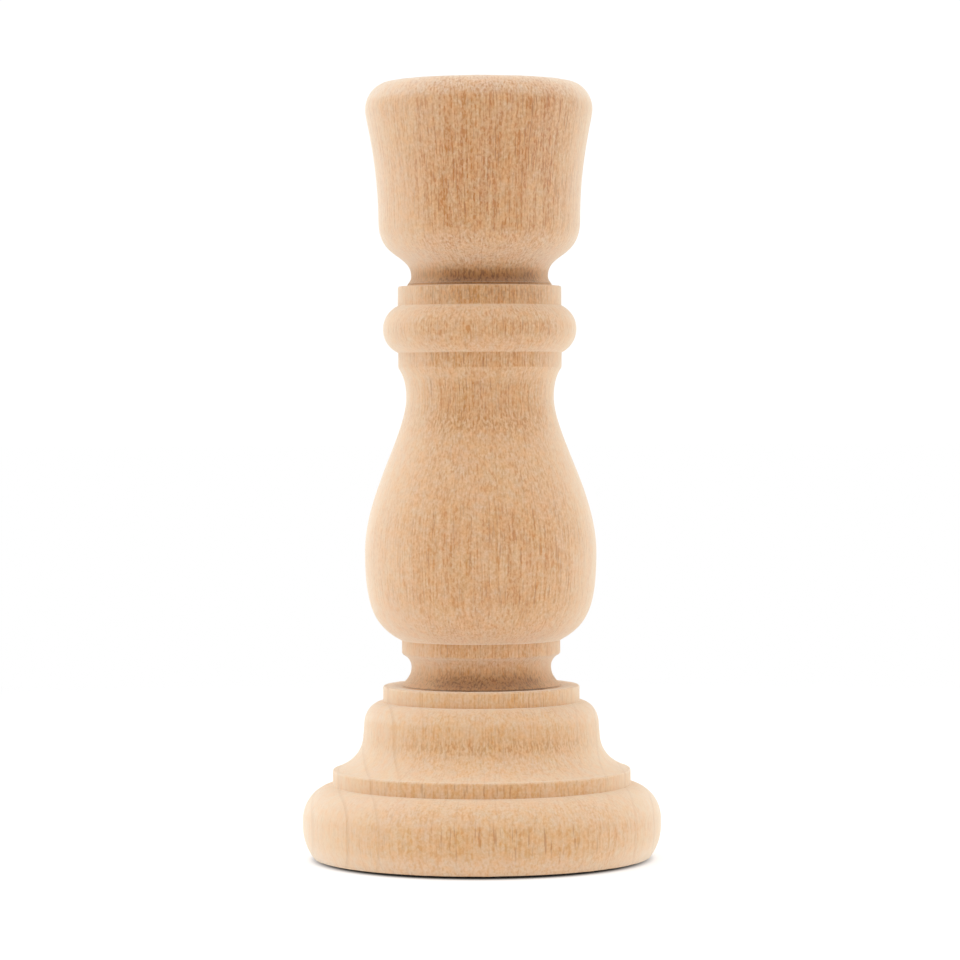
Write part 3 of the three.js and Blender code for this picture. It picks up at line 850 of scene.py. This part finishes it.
def addFloor():
    s = studio
    shape = bmesh.new()
    bmesh.ops.create_grid(shape, x_segments=1, y_segments=1, size=s["floorSize"])
    mesh = bpy.data.meshes.new("floor")
    shape.to_mesh(mesh)
    shape.free()
    floor = bpy.data.objects.new("floor", mesh)
    bpy.context.scene.collection.objects.link(floor)
    material, tree, surface, place = startMaterial("paleFloor")
    black, white = (0, 0, 0, 1), (1, 1, 1, 1)
    tone, glow = s["floorTone"], s["floorGlow"]
    far = addNode(tree, "VectorMath", {0: place["Object"]}, operation="LENGTH").outputs["Value"]
    endless = addRange(tree, far, s["floorLit"], s["floorWhite"])  # a white sweep past the light
    tree.links.new(addMix(tree, endless, (tone, tone, tone, 1), black), surface.inputs["Base Color"])
    clear = addRange(tree, far, *s["shaded"])  # no glow under the foot
    lit = addMix(tree, clear, black, (glow, glow, glow, 1))
    tree.links.new(addMix(tree, endless, lit, white), surface.inputs["Emission Color"])
    surface.inputs["Emission Strength"].default_value = 1.0
    surface.inputs["Roughness"].default_value = s["floorRoughness"]
    surface.inputs["Specular IOR Level"].default_value = 0.0
    mesh.materials.append(material)


def addTopBox():  # the one lamp, a soft box above and to the left
    s = studio
    data = bpy.data.lights.new("topBox", "AREA")
    data.shape = "RECTANGLE"
    data.size, data.size_y = s["topBoxSize"]
    data.energy = s["topBoxPower"]
    lamp = bpy.data.objects.new("topBox", data)
    lamp.location = s["topBoxPlace"]
    aim = Vector(s["topBoxAim"]) - Vector(s["topBoxPlace"])
    lamp.rotation_euler = aim.to_track_quat("-Z", "Y").to_euler()
    bpy.context.scene.collection.objects.link(lamp)


# a white room, darker low down where the camera stands, a little darker behind and warmer to the right
def lightRoom():
    s = studio
    world = bpy.data.worlds.new("whiteRoom")
    world.use_nodes = True
    tree = world.node_tree
    sky = tree.nodes["Background"]
    toward = addNode(tree, "SeparateXYZ", {0: addNode(tree, "TexCoord").outputs["Generated"]}).outputs
    front = addRange(tree, toward["Y"], *s["cameraSideFrom"])
    low = addRange(tree, toward["Z"], *s["cameraSideBelow"])
    shade = addMath(tree, "MULTIPLY", addMath(tree, "MULTIPLY", front, low), s["cameraSide"])
    light = addMath(tree, "MULTIPLY", addMath(tree, "SUBTRACT", 1.0, shade), s["wallLight"])
    back = addRange(tree, toward["Y"], *s["backSideFrom"], 1.0, 1.0 - s["backSide"])
    tree.links.new(addMath(tree, "MULTIPLY", light, back), sky.inputs["Strength"])
    right = addRange(tree, toward["X"], *s["warmFrom"])
    tree.links.new(addMix(tree, right, (1, 1, 1, 1), s["warmSide"]), sky.inputs["Color"])
    seen = addNode(tree, "Background", {"Color": (1, 1, 1, 1), "Strength": s["wallSeen"]})
    ray = addNode(tree, "LightPath").outputs["Is Camera Ray"]
    both = addNode(tree, "MixShader", {0: ray, 1: sky.outputs[0], 2: seen.outputs[0]})
    tree.links.new(both.outputs[0], tree.nodes["World Output"].inputs["Surface"])
    bpy.context.scene.world = world


placeCamera()
addFloor()
lightRoom()
addTopBox()
bpy.context.scene.view_settings.view_transform = "Standard"
print("studio set")
